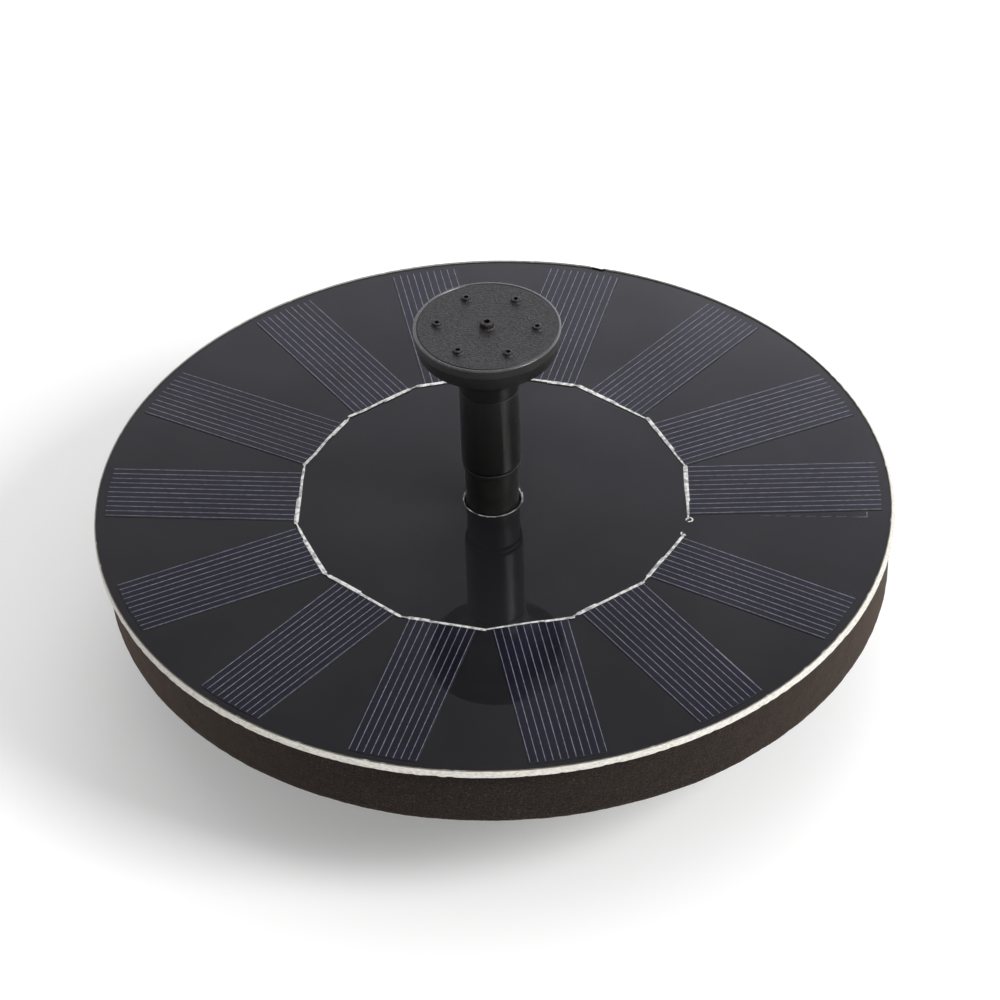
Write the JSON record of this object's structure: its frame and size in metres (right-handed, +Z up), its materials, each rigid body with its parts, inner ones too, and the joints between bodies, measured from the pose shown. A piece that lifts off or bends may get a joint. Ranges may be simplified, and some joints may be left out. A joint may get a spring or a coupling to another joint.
{
  "type": "floating solar fountain pump",
  "caption": "Round solar panel on a foam float ring with a small brushless pump below and a spray head on a riser tube above; it throws a fountain from a pond or bird bath.",
  "frame": {"origin": "on the fountain's axis, at the height of the pump's feet", "axes": "+Z up along the riser tube; +Y towards the back of the pump, where its cable comes out; the intake grille faces -Y"},
  "size_m": [0.16, 0.16, 0.0821],
  "materials": {
    "board": "white glass-fibre laminate with cut, slightly rough edges",
    "film": "clear glossy encapsulating film over a black backing",
    "cell": "dark navy silicon under film, with printed silver fingers",
    "ribbon": "tinned interconnecting ribbon, hand laid",
    "foam": "matte closed-cell foam, brown-black, fine cut grain",
    "adhesive": "double-sided adhesive sheet",
    "pad": "soft foam mounting tape",
    "housing": "black moulded ABS, satin",
    "nozzle": "black moulded plastic, satin with a soft sheen",
    "jets": "black moulded plastic with a fine pebbled top",
    "iron": "stacked electrical steel laminations",
    "copper": "enamelled copper wire",
    "circuit": "green circuit board with dark chips",
    "potting": "black poured epoxy",
    "magnet": "sintered ferrite",
    "impeller": "off-white moulded acetal",
    "ceramic": "polished alumina",
    "rubber": "black nitrile rubber",
    "cable": "black PVC cable sheath"
  },
  "bodies": {
    "float": {"panel_board": "board", "panel_film": "film", "float_ring": "foam", "ring_adhesive": "adhesive", "junction_cap": "potting", "pump_mount_pad": "pad", "motor_housing": "housing", "stator_core": "iron", "driver_board": "circuit", "potting_seal": "potting", "ceramic_shaft": "ceramic", "front_bush": "rubber", "rear_bush": "rubber", "front_washer": "ceramic", "rear_washer": "ceramic", "chamber_cover": "housing", "cover_seal": "rubber", "cable_grommet": "rubber", "power_cable": "cable", "solar_cell_01": "cell", "solar_cell_02": "cell", "solar_cell_03": "cell", "solar_cell_04": "cell", "solar_cell_05": "cell", "solar_cell_06": "cell", "solar_cell_07": "cell", "solar_cell_08": "cell", "solar_cell_09": "cell", "solar_cell_10": "cell", "solar_cell_11": "cell", "solar_cell_12": "cell", "solar_cell_13": "cell", "solar_cell_14": "cell", "cell_ribbon_01": "ribbon", "cell_ribbon_02": "ribbon", "cell_ribbon_03": "ribbon", "cell_ribbon_04": "ribbon", "cell_ribbon_05": "ribbon", "cell_ribbon_06": "ribbon", "cell_ribbon_07": "ribbon", "cell_ribbon_08": "ribbon", "cell_ribbon_09": "ribbon", "cell_ribbon_10": "ribbon", "cell_ribbon_11": "ribbon", "cell_ribbon_12": "ribbon", "cell_ribbon_13": "ribbon", "cell_ribbon_14": "ribbon", "stator_coil_1": "copper", "stator_coil_2": "copper", "stator_coil_3": "copper", "stator_coil_4": "copper"},
    "rotor": {"rotor_magnet": "magnet", "impeller": "impeller"},
    "riser": {"riser_tube": "nozzle"},
    "spray_head": {"spray_cup": "nozzle", "spray_plate": "jets"},
    "strainer": {"strainer_cover": "housing"}
  },
  "joints": [
    {"name": "rotor_spin", "type": "hinge", "parent": "float", "child": "rotor", "pos_m": [-0.006, 0, 0.016], "axis": [0, 1, 0], "continuous": true},
    {"name": "riser_lift", "type": "slide", "parent": "float", "child": "riser", "axis": [0, 0, 1], "range_m": [0, 0.02]},
    {"name": "head_turn", "type": "hinge", "parent": "riser", "child": "spray_head", "pos_m": [0, 0, 0.066], "axis": [0, 0, 1], "continuous": true},
    {"name": "strainer_slide", "type": "slide", "parent": "float", "child": "strainer", "axis": [0, -1, 0], "range_m": [0, 0.02]}
  ]
}
